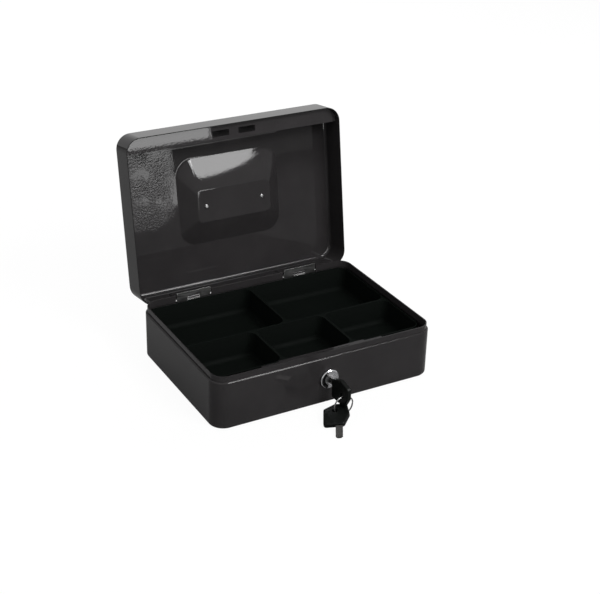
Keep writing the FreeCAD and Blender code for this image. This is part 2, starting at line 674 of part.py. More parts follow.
tail = "(90 - claw_turn - claw_tail_angle)"
sweep = "claw_tip_angle + claw_tail_angle"
hook = joined("Cut", "claw_hook", disc("claw_sector", CLAW_OUTER, sweep, tail),
              disc("claw_sector_hole", CLAW_INNER))
arm = doc.addObject("Part::Box", "claw_arm")
arm_turn = number("90 - claw_turn - claw_arm_angle")
swing = upright * FreeCAD.Rotation(FreeCAD.Vector(0, 0, 1), arm_turn)
shift = swing.multVec(FreeCAD.Vector(0, -number("claw_arm_width") / 2, 0))
arm.Placement = FreeCAD.Placement(FreeCAD.Vector(0, -number(claw_back), number("lock_height")) + shift, swing)
bind(arm, Length=f"({CLAW_INNER} + {CLAW_OUTER}) / 2", Width="claw_arm_width", Height="claw_sheet")
limb = joined("Fuse", "claw_limb", hook, arm)
plate = joined("Fuse", "claw_plate", limb, disc("claw_hub", "claw_hub_radius"))
eye = doc.addObject("Part::Box", "claw_eye")
eye_side = "(shank_width + 2 * shank_clearance)"
bind(eye, Length=eye_side, Width="4 * claw_sheet", Height=eye_side, Placement__Base__x=f"-{eye_side} / 2",
     Placement__Base__y=f"-{CLAW_Y} - 2 * claw_sheet", Placement__Base__z=f"lock_height - {eye_side} / 2")
joined("Cut", "claw_cam", plate, eye)

screw = new_body("cam_screw")
profile = new_sketch(screw, "profile", "YZ_Plane", "0", f"-({claw_back})", "lock_height")
polygon(profile, (("-screw_length", "0"), ("-screw_length", "screw_radius"), ("0", "screw_radius"),
                  ("0", "screw_head_radius"), ("screw_rim", "screw_head_radius"),
                  ("screw_head_height", "screw_top_radius"), ("screw_head_height", "0")))
revolve(screw, "turned", profile)

# Cover that boxes in the lock, with wings under the lip and a slit for the claw
cover = new_body("lock_cover")
shelf = new_sketch(cover, "shelf_outline", "XY_Plane", "shoulder_height")
lip_edge = f"(-{LIP_INSIDE} + weld_gap)"
wing_edge = "(-box_depth / 2 + wing_reach)"
polygon(shelf, (("-wing_span / 2", lip_edge), ("wing_span / 2", lip_edge), ("wing_span / 2", wing_edge),
                ("cover_width / 2", wing_edge), ("cover_width / 2", f"-{COVER_BACK}"),
                ("-cover_width / 2", f"-{COVER_BACK}"), ("-cover_width / 2", wing_edge),
                ("-wing_span / 2", wing_edge)))
extrude(cover, "Pad", "shelf", shelf, "cover_sheet", back=True)
wall = new_sketch(cover, "wall_outline", "XY_Plane", "shoulder_height")
rectangle(wall, "-cover_width / 2", f"-{COVER_BACK} - cover_sheet", "cover_width / 2", f"-{COVER_BACK}")
extrude(cover, "Pad", "wall", wall, "shoulder_height - base_sheet", back=True)
back_y = -number(COVER_BACK)
top_z = number("shoulder_height")
round_edges(cover, "bend", "cover_bend",
            lambda edge, middle: abs(middle.y - back_y) < CLOSE and abs(middle.z - top_z) < CLOSE)
slit = new_sketch(cover, "slit_outline", "XY_Plane", "shoulder_height")
rounded(slit, "slit_left + slit_right", "slit_width", "slit_corner",
        "(slit_right - slit_left) / 2", f"-{CLAW_Y}")
extrude(cover, "Pocket", "slit", slit, "2 * cover_sheet")

# Coin tray: drafted cups in two rows, standing on an angle along each side wall
tray = new_body("coin_tray")
tray_x = "(box_width - 2 * lip_inset - 2 * base_sheet - 2 * tray_gap)"
tray_front = f"(-{COVER_BACK} + tray_gap)"
tray_back = f"({LIP_INSIDE} - tray_gap)"
tray_y = f"({tray_back} - {tray_front})"
tray_mid = f"(({tray_back} + {tray_front}) / 2)"
tray_top = "(tray_rest_height + tray_seat_gap + tray_height)"
rim = new_sketch(tray, "rim_outline", "XY_Plane", tray_top)
rounded(rim, tray_x, tray_y, "tray_corner", y=tray_mid)
extrude(tray, "Pad", "block", rim, "tray_height", back=True, taper="-tray_draft")
cup_depth = "(tray_height - tray_floor)"
back_row = f"({tray_y} - 2 * tray_wall - tray_divider - tray_front_row)"
rows = (("front", "front_cup_count", "tray_front_row", f"({tray_front} + tray_wall + tray_front_row / 2)"),
        ("back", "back_cup_count", back_row, f"({tray_back} - tray_wall - {back_row} / 2)"))
for row, count, deep, middle in rows:
    wide = f"(({tray_x} - 2 * tray_wall - ({count} - 1) * tray_divider) / {count})"
    cup = new_sketch(tray, row + "_cup_outline", "XY_Plane", tray_top)
    rounded(cup, wide, deep, "cup_corner", f"-{tray_x} / 2 + tray_wall + {wide} / 2", middle)
    hollow = extrude(tray, "Pocket", row + "_cup", cup, cup_depth, taper="-tray_draft")
    repeat = tray.newObject("PartDesign::LinearPattern", "coin_tray_" + row + "_row")
    repeat.Originals = [hollow]
    repeat.Direction = (cup, ["H_Axis"])
    bind(repeat, Length=f"({count} - 1) * ({wide} + tray_divider)", Occurrences=count)
    tray.Tip = repeat
    doc.recompute()
round_edges(tray, "cup_floors", "cup_edge", level(f"{tray_top} - {cup_depth}"))

for side, sign in (("left", "-1"), ("right", "1")):
    rest = new_body("tray_rest_" + side)
    angle = new_sketch(rest, "angle", "XZ_Plane", f"-{tray_mid}")
    out = f"{sign} * (box_width / 2 - base_sheet)"
    polygon(angle, ((out, "tray_rest_height"), (f"{out} - {sign} * rest_ledge", "tray_rest_height"),
                    (f"{out} - {sign} * rest_ledge", "tray_rest_height - rest_sheet"),
                    (f"{out} - {sign} * rest_sheet", "tray_rest_height - rest_sheet"),
                    (f"{out} - {sign} * rest_sheet", "tray_rest_height - rest_leg"),
                    (out, "tray_rest_height - rest_leg")))
    extrude(rest, "Pad", "strip", angle, "rest_length", both=True)

# Keys: a cut blade whose tongue sits in a moulded bow
hole_y = f"(-{BOW_FACE} - bow_hole_reach)"
hole_z = "(lock_height - bow_hole_drop)"


def new_key(prefix):
    blade = new_body(prefix + "_blade")
    flat = new_sketch(blade, "flat", "YZ_Plane", up="lock_height")
    tip = f"(-{PLUG_FACE} + blade_insert)"
    neck = f"(-{BOW_FACE} - blade_tongue)"
    polygon(flat, ((neck, "-blade_height / 2"), (f"{tip} - blade_nose", "-blade_height / 2"),
                   (tip, "blade_nose - blade_height / 2"), (tip, "blade_height / 2 - blade_nose"),
                   (f"{tip} - blade_nose", "blade_height / 2"), (neck, "blade_height / 2")))
    extrude(blade, "Pad", "strip", flat, "blade_sheet", both=True)
    bit = new_sketch(blade, "bit", "YZ_Plane", up="lock_height")
    first = f"({tip} - blade_nose - bit_width / 2)"
    bit_low = f"({first} - bit_width / 2)"
    bit_high = f"({first} + bit_width / 2)"
    polygon(bit, ((bit_low, "blade_height"), (bit_low, "blade_height / 2"),
                  (first, "blade_height / 2 - bit_depth"), (bit_high, "blade_height / 2"),
                  (bit_high, "blade_height")))
    cut = extrude(blade, "Pocket", "bit_cut", bit, "2 * blade_sheet", both=True)
    cuts = blade.newObject("PartDesign::LinearPattern", prefix + "_blade_bits")
    cuts.Originals = [cut]
    cuts.Direction = (bit, ["H_Axis"])
    cuts.Reversed = True
    bind(cuts, Length="2 * bit_pitch")
    cuts.Occurrences = 3
    blade.Tip = cuts
    doc.recompute()

    bow = new_body(prefix + "_bow")
    plate = new_sketch(bow, "outline", "YZ_Plane", right=f"-{BOW_FACE}", up="lock_height")
    polygon(plate, (("0", "-bow_drop"), ("0", "bow_shoulder"), ("-bow_crest", "bow_rise"),
                    ("-bow_length", "bow_end_rise"), ("-bow_length", "-bow_end_drop"),
                    ("-bow_heel", "-bow_drop")))
    extrude(bow, "Pad", "plate", plate, "bow_sheet", both=True)
    span = number("bow_sheet")
    round_edges(bow, "corners", "bow_corner", lambda edge, middle: abs(edge.BoundBox.XLength - span) < CLOSE)
    round_edges(bow, "edges", "bow_edge", lambda edge, middle: edge.BoundBox.XLength < CLOSE)
    socket = new_sketch(bow, "socket", "YZ_Plane", right=f"-{BOW_FACE}", up="lock_height")
    rectangle(socket, "-blade_tongue - blade_clearance", "-blade_height / 2 - blade_clearance", "bow_sheet",
              "blade_height / 2 + blade_clearance")
    extrude(bow, "Pocket", "socket_cut", socket, "blade_sheet + 2 * blade_clearance", both=True)
    hole = new_sketch(bow, "hole", "YZ_Plane")
    circle(hole, "bow_hole_radius", hole_y, hole_z)
    extrude(bow, "Pocket", "hole_cut", hole, "2 * bow_sheet", both=True)
    return blade, bow


new_key("key")
spare = new_key("spare_key")

# Split ring through the first bow; its wire rests in the bottom of the hole
radius = number("ring_radius")
sag = radius - math.sqrt(radius ** 2 - (number("bow_sheet") / 2) ** 2)
wire_z = number(f"{hole_z} - bow_hole_radius + ring_seat + ring_wire") + sag
ring_centre = FreeCAD.Vector(0, number(hole_y), wire_z - radius)
ring = doc.addObject("Part::Torus", "key_ring")
ring.Placement = FreeCAD.Placement(ring_centre, upright)
bind(ring, Radius1="ring_radius", Radius2="ring_wire")

# The spare key lies on the table in front, its bow held up by the ring and its tip down
around = math.radians(number("spare_ring_angle"))
held = ring_centre + FreeCAD.Vector(-math.sin(around), 0, -math.cos(around)) * radius
lie = FreeCAD.Rotation(FreeCAD.Vector(0, 1, 0), -90)
lie = FreeCAD.Rotation(FreeCAD.Vector(0, 1, 0), number("spare_roll_angle")) * lie
lie = FreeCAD.Rotation(FreeCAD.Vector(1, 0, 0), -number("spare_pitch_angle")) * lie
lie = FreeCAD.Rotation(FreeCAD.Vector(0, 0, 1), 180 - number("spare_heading_angle")) * lie
own_hole = FreeCAD.Vector(0, number(hole_y), number(hole_z))
for piece in spare:
    piece.Placement = FreeCAD.Placement(held - lie.multVec(own_hole), lie)
doc.recompute()

NODES = (
    "base_shell", "lock_cover", "lock_body", "lock_washer", "lock_nut",
    "hinge_leaf_base_left", "hinge_leaf_base_right", "hinge_pin_left", "hinge_pin_right",
    "tray_rest_left", "tray_rest_right",
    "lid_shell", "lid_catch_flange", "hinge_leaf_lid_left", "hinge_leaf_lid_right",
    "handle_bracket_left", "handle_bracket_right", "handle_rivet_left", "handle_rivet_right", "handle_bail",
    "lock_plug", "claw_cam", "cam_screw", "key_blade", "key_bow", "key_ring",
    "spare_key_blade", "spare_key_bow", "coin_tray",
)

for thing in doc.Objects:
    if "Invalid" in thing.State or "Error" in thing.State:
        raise RuntimeError(f"{thing.Label} did not build: {thing.getStatusString()}")
for node in NODES:
    shape = doc.getObject(node).Shape
    if shape.isNull() or not shape.isValid() or len(shape.Solids) != 1:
        raise RuntimeError(f"{node} has no single valid solid")

os.makedirs("parts", exist_ok=True)
for node in NODES:
    doc.getObject(node).Shape.exportStep(os.path.join("parts", node + ".step"))
    print(f"{node}: {doc.getObject(node).Shape.Volume:.1f} mm3")
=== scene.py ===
import json
import math

import bmesh
import bpy
from mathutils import Matrix, Vector

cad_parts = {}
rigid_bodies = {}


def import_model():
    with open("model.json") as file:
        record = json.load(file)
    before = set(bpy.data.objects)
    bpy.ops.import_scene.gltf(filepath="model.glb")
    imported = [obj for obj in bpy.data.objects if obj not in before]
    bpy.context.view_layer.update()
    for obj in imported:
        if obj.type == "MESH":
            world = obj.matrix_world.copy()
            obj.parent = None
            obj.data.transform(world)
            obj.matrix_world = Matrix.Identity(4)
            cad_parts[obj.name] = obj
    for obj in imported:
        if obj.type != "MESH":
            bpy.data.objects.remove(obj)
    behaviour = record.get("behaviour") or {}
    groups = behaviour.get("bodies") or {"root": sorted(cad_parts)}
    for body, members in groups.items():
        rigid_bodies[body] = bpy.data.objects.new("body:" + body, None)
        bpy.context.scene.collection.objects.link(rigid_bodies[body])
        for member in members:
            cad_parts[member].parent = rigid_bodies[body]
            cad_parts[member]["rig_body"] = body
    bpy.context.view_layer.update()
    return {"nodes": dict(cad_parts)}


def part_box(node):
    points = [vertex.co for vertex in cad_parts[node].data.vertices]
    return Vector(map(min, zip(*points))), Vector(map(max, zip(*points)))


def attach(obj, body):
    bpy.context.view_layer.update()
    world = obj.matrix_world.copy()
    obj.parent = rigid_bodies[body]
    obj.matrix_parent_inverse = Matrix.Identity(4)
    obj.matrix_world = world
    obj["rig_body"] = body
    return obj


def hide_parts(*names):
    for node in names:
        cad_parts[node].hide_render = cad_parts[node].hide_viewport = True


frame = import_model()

scene = bpy.context.scene
scene.view_settings.view_transform = "Standard"

# Camera: a long lens set well back, above the front left corner of the box,
# tipped a degree and a half as the photograph is.
eye = Vector((-0.58305, -1.04492, 0.68944))
aim = Vector((0.01616, 0.0, 0.0738))
tip = math.radians(1.57)
forward = (aim - eye).normalized()
level_right = forward.cross(Vector((0, 0, 1))).normalized()
level_up = level_right.cross(forward)
right = level_right * math.cos(tip) + level_up * math.sin(tip)
up = level_up * math.cos(tip) - level_right * math.sin(tip)
lens = bpy.data.cameras.new("camera")
lens.sensor_width = 36
lens.lens = 78.04
lens.clip_end = 30
camera = bpy.data.objects.new("camera", lens)
camera.matrix_world = Matrix.Translation(eye) @ Matrix((right, up, -forward)).transposed().to_4x4()
scene.collection.objects.link(camera)
scene.camera = camera

# Studio: a white sweep under and behind the box, which still takes its shadow.
# Some softboxes show only in the gloss of the paint and metal, and others only fill the matt surfaces.
air_fill = 0.42
air_white = 1.0
floor_grey = 0.26
floor_glow = 1.1
floor_glow_share = 0.86
floor_in_gloss = 0.15
floor_corners = [(-4, -1.5, 0), (4, -1.5, 0), (4, 5, 0), (-4, 5, 0)]


def combine(tree, operation, first, second):
    """Two fields, or a field and a number, put together."""
    step = tree.nodes.new("ShaderNodeMath")
    step.operation = operation
    tree.links.new(first, step.inputs[0])
    if isinstance(second, float):
        step.inputs[1].default_value = second
    else:
        tree.links.new(second, step.inputs[1])
    return step.outputs[0]


def spread(tree, field, low, high, least=0.0, most=1.0):
    """A field's range from low to high, spread between two values."""
    ranged = tree.nodes.new("ShaderNodeMapRange")
    ranged.inputs["From Min"].default_value = low
    ranged.inputs["From Max"].default_value = high
    ranged.inputs["To Min"].default_value = least
    ranged.inputs["To Max"].default_value = most
    tree.links.new(field, ranged.inputs["Value"])
    return ranged.outputs["Result"]


air = bpy.data.worlds.new("studio_air")
scene.world = air
air.use_nodes = True
air_tree = air.node_tree
rays = air_tree.nodes.new("ShaderNodeLightPath").outputs
in_gloss = combine(air_tree, "MAXIMUM", rays["Is Glossy Ray"], rays["Is Transmission Ray"])
seen = combine(air_tree, "MAXIMUM", rays["Is Camera Ray"], in_gloss)
backdrop = air_tree.nodes["Background"]
backdrop.inputs["Color"].default_value = (1, 1, 1, 1)
air_tree.links.new(spread(air_tree, seen, 0, 1, air_fill, air_white), backdrop.inputs["Strength"])

sweep_mesh = bpy.data.meshes.new("floor")
sweep_mesh.from_pydata(floor_corners, [], [(0, 1, 2, 3)])
floor = bpy.data.objects.new("floor", sweep_mesh)
scene.collection.objects.link(floor)
pale = bpy.data.materials.new("pale_floor")
pale.use_nodes = True
floor_tree = pale.node_tree
floor_tree.nodes.clear()
rays = floor_tree.nodes.new("ShaderNodeLightPath").outputs
in_gloss = combine(floor_tree, "MAXIMUM", rays["Is Glossy Ray"], rays["Is Transmission Ray"])
toned = combine(floor_tree, "MULTIPLY", in_gloss, floor_in_gloss)
seen = combine(floor_tree, "MAXIMUM", rays["Is Camera Ray"], toned)
matt = floor_tree.nodes.new("ShaderNodeBsdfDiffuse")
matt.inputs["Color"].default_value = (floor_grey, floor_grey, floor_grey, 1)
glow = floor_tree.nodes.new("ShaderNodeEmission")
glow.inputs["Color"].default_value = (1, 1, 1, 1)
glow.inputs["Strength"].default_value = floor_glow
blend = floor_tree.nodes.new("ShaderNodeMixShader")
floor_tree.links.new(combine(floor_tree, "MULTIPLY", seen, floor_glow_share), blend.inputs["Fac"])
floor_tree.links.new(matt.outputs[0], blend.inputs[1])
floor_tree.links.new(glow.outputs[0], blend.inputs[2])
surface = floor_tree.nodes.new("ShaderNodeOutputMaterial")
floor_tree.links.new(blend.outputs[0], surface.inputs["Surface"])
sweep_mesh.materials.append(pale)


def softbox(name, centre, toward, width, height, power, mirrored=True, fills=True, oval=False):
    """A flat lamp facing a point; it may show only in glossy surfaces, or only light matt ones."""
    lamp = bpy.data.lights.new(name, "AREA")
    lamp.shape = "ELLIPSE" if oval else "RECTANGLE"
    lamp.size = width
    lamp.size_y = height
    lamp.energy = power
    holder = bpy.data.objects.new(name, lamp)
    holder.location = centre
    way = Vector(toward) - Vector(centre)
    holder.rotation_euler = way.to_track_quat("-Z", "Y").to_euler()
    holder.visible_glossy = mirrored
    holder.visible_diffuse = fills
    scene.collection.objects.link(holder)


softbox("front_softbox", centre=(0.2, -0.9, 0.34), toward=(0.2, 0.2, 0.34),
        width=0.45, height=0.42, power=15, fills=False)
softbox("front_reflector", centre=(0.3025, -0.9, 0.061), toward=(0.3025, 0.2, 0.061),
        width=0.105, height=0.118, power=0.64, fills=False)
softbox("front_key", centre=(0.05, -1.25, 0.75), toward=(0.0, 0.0, 0.1),
        width=0.6, height=0.6, power=13.5, mirrored=False)
softbox("high_softbox", centre=(0.48, -0.9, 0.985), toward=(0.48, 0.2, 0.985),
        width=0.39, height=0.15, power=5.6, fills=False, oval=True)
softbox("high_fill", centre=(0.375, -0.9, 1.093), toward=(0.375, 0.2, 1.093),
        width=0.5, height=0.39, power=21, mirrored=False)
softbox("top_strip", centre=(0.58, -1.0, 1.5), toward=(0.0, -0.07, 0.05),
        width=0.67, height=0.8, power=68, fills=False)
softbox("overhead", centre=(-0.1, -0.3, 1.9), toward=(0.0, 0.0, 0.0),
        width=1.3, height=1.3, power=6)
softbox("left_fill", centre=(-1.4, -0.1, 0.9), toward=(0.0, 0.0, 0.05),
        width=1.0, height=1.0, power=4.5, mirrored=False)
softbox("right_fill", centre=(1.5, 0.2, 0.8), toward=(0.0, 0.0, 0.1),
        width=1.0, height=1.0, power=10, mirrored=False)
softbox("back_fill", centre=(0.2, 1.6, 0.8), toward=(0.0, 0.1, 0.1),
        width=1.0, height=1.0, power=22, mirrored=False)
softbox("back_softbox", centre=(0.75, 1.7, 0.4), toward=(0.0, 0.1, 0.15),
        width=1.6, height=0.6, power=0.3)

# Base: pressed and welded steel, sprayed in glossy charcoal enamel inside and out.
# The paint film has a fine orange peel. The lock's cover and the tray's rests are welded in
# and painted with it.
nodes = frame["nodes"]


def new_finish(name, color, rough, metal=0.0, specular=0.5):
    """A surface with its plain values on the shader's own sockets."""
    finish = bpy.data.materials.new(name)
    finish.use_nodes = True
    shader = finish.node_tree.nodes["Principled BSDF"]
    shader.inputs["Base Color"].default_value = (*color, 1)
    shader.inputs["Roughness"].default_value = rough
    shader.inputs["Metallic"].default_value = metal
    shader.inputs["Specular IOR Level"].default_value = specular
    return finish


def noise(finish, scale, detail, stretch=(1, 1, 1)):
    """A noise field in the object's own coordinates."""
    tree = finish.node_tree
    place = tree.nodes.new("ShaderNodeTexCoord")
    shape = tree.nodes.new("ShaderNodeMapping")
    shape.inputs["Scale"].default_value = stretch
    field = tree.nodes.new("ShaderNodeTexNoise")
    field.inputs["Scale"].default_value = scale
    field.inputs["Detail"].default_value = detail
    tree.links.new(place.outputs["Object"], shape.inputs["Vector"])
    tree.links.new(shape.outputs["Vector"], field.inputs["Vector"])
    return field.outputs["Fac"]


def relief(finish, height, strength, distance, under=None):
    """A bump from a height field, laid over an earlier one if there is one."""
    tree = finish.node_tree
    bump = tree.nodes.new("ShaderNodeBump")
    bump.inputs["Strength"].default_value = strength
    bump.inputs["Distance"].default_value = distance
    tree.links.new(height, bump.inputs["Height"])
    if under:
        tree.links.new(under, bump.inputs["Normal"])
    tree.links.new(bump.outputs["Normal"], tree.nodes["Principled BSDF"].inputs["Normal"])


def vary(finish, socket, field, low, high):
    """Spread the middle of a noise field over a socket, between two values or two colours."""
    middle_start, middle_end = 0.3, 0.7
    tree = finish.node_tree
    target = tree.nodes["Principled BSDF"].inputs[socket]
    if isinstance(low, tuple):
        ramp = tree.nodes.new("ShaderNodeValToRGB")
        first, last = ramp.color_ramp.elements
        first.color = (*low, 1)
        last.color = (*high, 1)
        first.position = middle_start
        last.position = middle_end
        tree.links.new(field, ramp.inputs["Fac"])
        tree.links.new(ramp.outputs["Color"], target)
    else:
        tree.links.new(spread(tree, field, middle_start, middle_end, low, high), target)


def enamel(name, peel):
    """Charcoal enamel with a given depth of orange peel."""
    finish = new_finish(name, (0.0165, 0.0154, 0.0159), rough=0.021, specular=0.1)
    vary(finish, "Base Color", noise(finish, scale=35, detail=3),
         low=(0.015, 0.014, 0.0145), high=(0.018, 0.0168, 0.0173))
    vary(finish, "Roughness", noise(finish, scale=60, detail=3), low=0.012, high=0.03)
    relief(finish, noise(finish, scale=420, detail=2), strength=peel, distance=0.0003)
    return finish


def dress(node, finish, edge=0.0):
    """A smooth skin over a part: welded, creased at its real edges and softened along them."""
    weld = 2e-6
    crease = math.radians(32)
    source = nodes[node]
    mesh = source.data.copy()
    mesh.materials.clear()
    mesh.materials.append(finish)
    work = bmesh.new()
    work.from_mesh(mesh)
    bmesh.ops.remove_doubles(work, verts=work.verts, dist=weld)
    work.to_mesh(mesh)
    work.free()
    if "custom_normal" in mesh.attributes:
        mesh.attributes.remove(mesh.attributes["custom_normal"])
    mesh.shade_smooth()
    mesh.set_sharp_from_angle(angle=crease)
    piece = bpy.data.objects.new(node + "_skin", mesh)
    scene.collection.objects.link(piece)
    if edge:
        soften = piece.modifiers.new("soft_edges", "BEVEL")
        soften.width = edge
        soften.segments = 2
        soften.limit_method = "ANGLE"
        soften.angle_limit = crease
        soften.use_clamp_overlap = True
    even = piece.modifiers.new("even_shading", "WEIGHTED_NORMAL")
    even.keep_sharp = True
    even.weight = 100
    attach(piece, source["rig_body"])
    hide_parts(node)


base_enamel = enamel("base_enamel", peel=0.025)
for node in ("base_shell", "lock_cover", "tray_rest_left", "tray_rest_right"):
    dress(node, base_enamel)

# Lid: one pressed steel pan in the same enamel, with the catch strip welded behind its front wall.
# The spray fell dry in the upper left of the panel. The panel's top band carries a painted shadow of the
# strip, and the inside behind the strip is painted near black as shade; the rim's edge is painted near
# black and dull.
lid_enamel = enamel("lid_enamel", peel=0.02)
coat = lid_enamel.node_tree
shader = coat.nodes["Principled BSDF"]
spot = coat.nodes.new("ShaderNodeTexCoord").outputs["Object"]
across = (1, 0, 0)
up_panel = (0, 0.1504, 0.98863)
into_lid = (0, -0.98863, 0.1504)
sheet_outside, sheet_inside, bend_start, bend_end = -0.1116, -0.111, -0.1105, -0.1095
dry_side_edge, dry_side_full, dry_low_edge, dry_low_full = -0.062, -0.088, 0.13, 0.17
# Bounds of the painted shade: the inside behind the catch strip, painted near black where little light
# reaches.
strip_shade_low_edge, strip_shade_low_full, strip_shade_top_full, strip_shade_top_edge = 0.2195, 0.2215, 0.2445, 0.2447
strip_shade_side_full, strip_shade_side_edge = 0.06, 0.065
# The panel's top band is painted darker towards the strip, as the strip's shadow.
top_shade_start, top_shade_end, top_shade_most = 0.165, 0.2205, 0.6
cloud_start, cloud_full, cloud_least = 0.35, 0.62, 0.1
speck_start, speck_full = 0.4, 0.62
rim = max(Vector(into_lid).dot(point.co) for point in nodes["lid_shell"].data.vertices)
cut_start, cut_end = rim - 0.0004, rim - 0.0002
speck_roughness = 0.5
shade_and_dark_rim_roughness = 0.7
# Near black for the painted shade behind and below the strip, and for the rim's edge.
shade_black = (0.002, 0.002, 0.002, 1)


def ramp_along(way, start, end):
    """A value that goes from nought to one between two distances along a direction."""
    along = coat.nodes.new("ShaderNodeVectorMath")
    along.operation = "DOT_PRODUCT"
    along.inputs[1].default_value = way
    coat.links.new(spot, along.inputs[0])
    return spread(coat, along.outputs["Value"], start, end)


def product(*fields):
    """Fields multiplied together."""
    result = fields[0]
    for field in fields[1:]:
        result = combine(coat, "MULTIPLY", result, field)
    return result


def laid(socket):
    """What the enamel already feeds to a socket of the lid's shader."""
    return shader.inputs[socket].links[0].from_socket


inside = ramp_along(into_lid, sheet_outside, sheet_inside)
panel = product(inside, ramp_along(into_lid, bend_end, bend_start))
dry = product(panel, ramp_along(across, dry_side_edge, dry_side_full),
              ramp_along(up_panel, dry_low_edge, dry_low_full))
clouds = spread(coat, noise(lid_enamel, scale=40, detail=3), cloud_start, cloud_full, cloud_least)
specks = spread(coat, noise(lid_enamel, scale=480, detail=3), speck_start, speck_full)
grit = spread(coat, noise(lid_enamel, scale=620, detail=2), 0, 1, least=-0.5, most=0.5)
relief(lid_enamel, product(grit, clouds, dry), strength=1.0, distance=0.0005, under=laid("Normal"))
# Painted shade: the inside behind the strip, where little light reaches, seen through the slots.
strip_shade = product(inside, ramp_along(up_panel, strip_shade_low_edge, strip_shade_low_full),
                 ramp_along(up_panel, strip_shade_top_edge, strip_shade_top_full),
                 ramp_along(across, -strip_shade_side_edge, -strip_shade_side_full),
                 ramp_along(across, strip_shade_side_edge, strip_shade_side_full))
# Painted shade behind the strip together with the rim's edge: both go near black, and rough enough to show
# no reflection.
shade_and_dark_rim = combine(coat, "MAXIMUM", strip_shade, ramp_along(into_lid, cut_start, cut_end))
speckled = spread(coat, product(specks, clouds, dry), 0, 1, most=speck_roughness)
rough = combine(coat, "ADD", laid("Roughness"), speckled)
rough = combine(coat, "ADD", rough, spread(coat, shade_and_dark_rim, 0, 1, most=shade_and_dark_rim_roughness))
coat.links.new(rough, shader.inputs["Roughness"])
# Painted shadow of the strip over the panel's top band, up to 0.6 of the way to near black.
top_shade = spread(coat, ramp_along(up_panel, top_shade_start, top_shade_end), 0, 1, most=top_shade_most)
# Colour mix that lays the painted shade behind and below the strip, and the dark rim edge, over the enamel.
darkening_mix = coat.nodes.new("ShaderNodeMix")
darkening_mix.data_type = "RGBA"
darkening_mix.inputs["B"].default_value = shade_black
coat.links.new(combine(coat, "MAXIMUM", shade_and_dark_rim, product(panel, top_shade)), darkening_mix.inputs["Factor"])
coat.links.new(laid("Base Color"), darkening_mix.inputs["A"])
coat.links.new(darkening_mix.outputs["Result"], shader.inputs["Base Color"])
dress("lid_shell", lid_enamel)
dress("lid_catch_flange", base_enamel, edge=0.00006)

# Hinges: folded steel leaves and steel pins; the lid's leaves are painted with the lid.
# The base's leaves and the pins are dark plated, with faint streaks along the strip they were cut from.
hinge_steel = new_finish("hinge_steel", (0.09, 0.09, 0.09), rough=0.36, metal=1.0)
vary(hinge_steel, "Roughness", noise(hinge_steel, scale=90, detail=3, stretch=(1, 8, 8)),
     low=0.28, high=0.45)
vary(hinge_steel, "Base Color", noise(hinge_steel, scale=70, detail=3),
     low=(0.065, 0.065, 0.064), high=(0.12, 0.12, 0.119))
relief(hinge_steel, noise(hinge_steel, scale=900, detail=2, stretch=(0.2, 1, 1)),
       strength=0.1, distance=0.0001)
for side in ("left", "right"):
    dress("hinge_leaf_base_" + side, hinge_steel, edge=0.0002)
    dress("hinge_pin_" + side, hinge_steel)
    dress("hinge_leaf_lid_" + side, base_enamel)

# Lock: a turned chrome barrel round a duller cast plug, with the washer, nut, claw and screw behind it.
# The chrome is bright and a little uneven, the plug's face is rubbed by keys, and the rest is zinc plated.
chrome = new_finish("lock_chrome", (0.38, 0.38, 0.39), rough=0.16, metal=1.0)
vary(chrome, "Roughness", noise(chrome, scale=160, detail=3), low=0.12, high=0.22)
relief(chrome, noise(chrome, scale=1500, detail=2), strength=0.04, distance=0.00005)
dress("lock_body", chrome)
plug_metal = new_finish("plug_metal", (0.34, 0.34, 0.35), rough=0.36, metal=1.0)
vary(plug_metal, "Roughness", noise(plug_metal, scale=220, detail=3), low=0.3, high=0.45)
vary(plug_metal, "Base Color", noise(plug_metal, scale=180, detail=3),
     low=(0.28, 0.28, 0.288), high=(0.4, 0.4, 0.41))
dress("lock_plug", plug_metal)
zinc = new_finish("zinc_plate", (0.42, 0.42, 0.42), rough=0.5, metal=1.0)
vary(zinc, "Roughness", noise(zinc, scale=90, detail=3), low=0.4, high=0.55)
vary(zinc, "Base Color", noise(zinc, scale=70, detail=3), low=(0.36, 0.36, 0.357), high=(0.48, 0.48, 0.475))
for node in ("lock_washer", "lock_nut", "claw_cam", "cam_screw"):
    dress(node, zinc)

# Handle: a chromed steel bail in two posts, riveted through the floor of the well.
# The rivets' closed heads show inside the lid, bright in places and half painted over.
rivet_steel = new_finish("rivet_steel", (0.12, 0.12, 0.12), rough=0.36, metal=1.0)
vary(rivet_steel, "Base Color", noise(rivet_steel, scale=900, detail=3),
     low=(0.02, 0.02, 0.02), high=(0.18, 0.18, 0.18))
vary(rivet_steel, "Roughness", noise(rivet_steel, scale=700, detail=2), low=0.28, high=0.44)
for node in ("handle_bail", "handle_bracket_left", "handle_bracket_right"):
    dress(node, chrome)
for node in ("handle_rivet_left", "handle_rivet_right"):
    dress(node, rivet_steel)

# Coin tray: thin moulded black plastic with drafted cups, set loose on the two rests.
# Its skin is a fine spark texture, duller than the paint.
tray_black = new_finish("tray_black", (0.0021, 0.0028, 0.0024), rough=0.7, specular=0.012)
vary(tray_black, "Roughness", noise(tray_black, scale=50, detail=2), low=0.62, high=0.75)
relief(tray_black, noise(tray_black, scale=1800, detail=2), strength=0.2, distance=0.0001)
dress("coin_tray", tray_black)

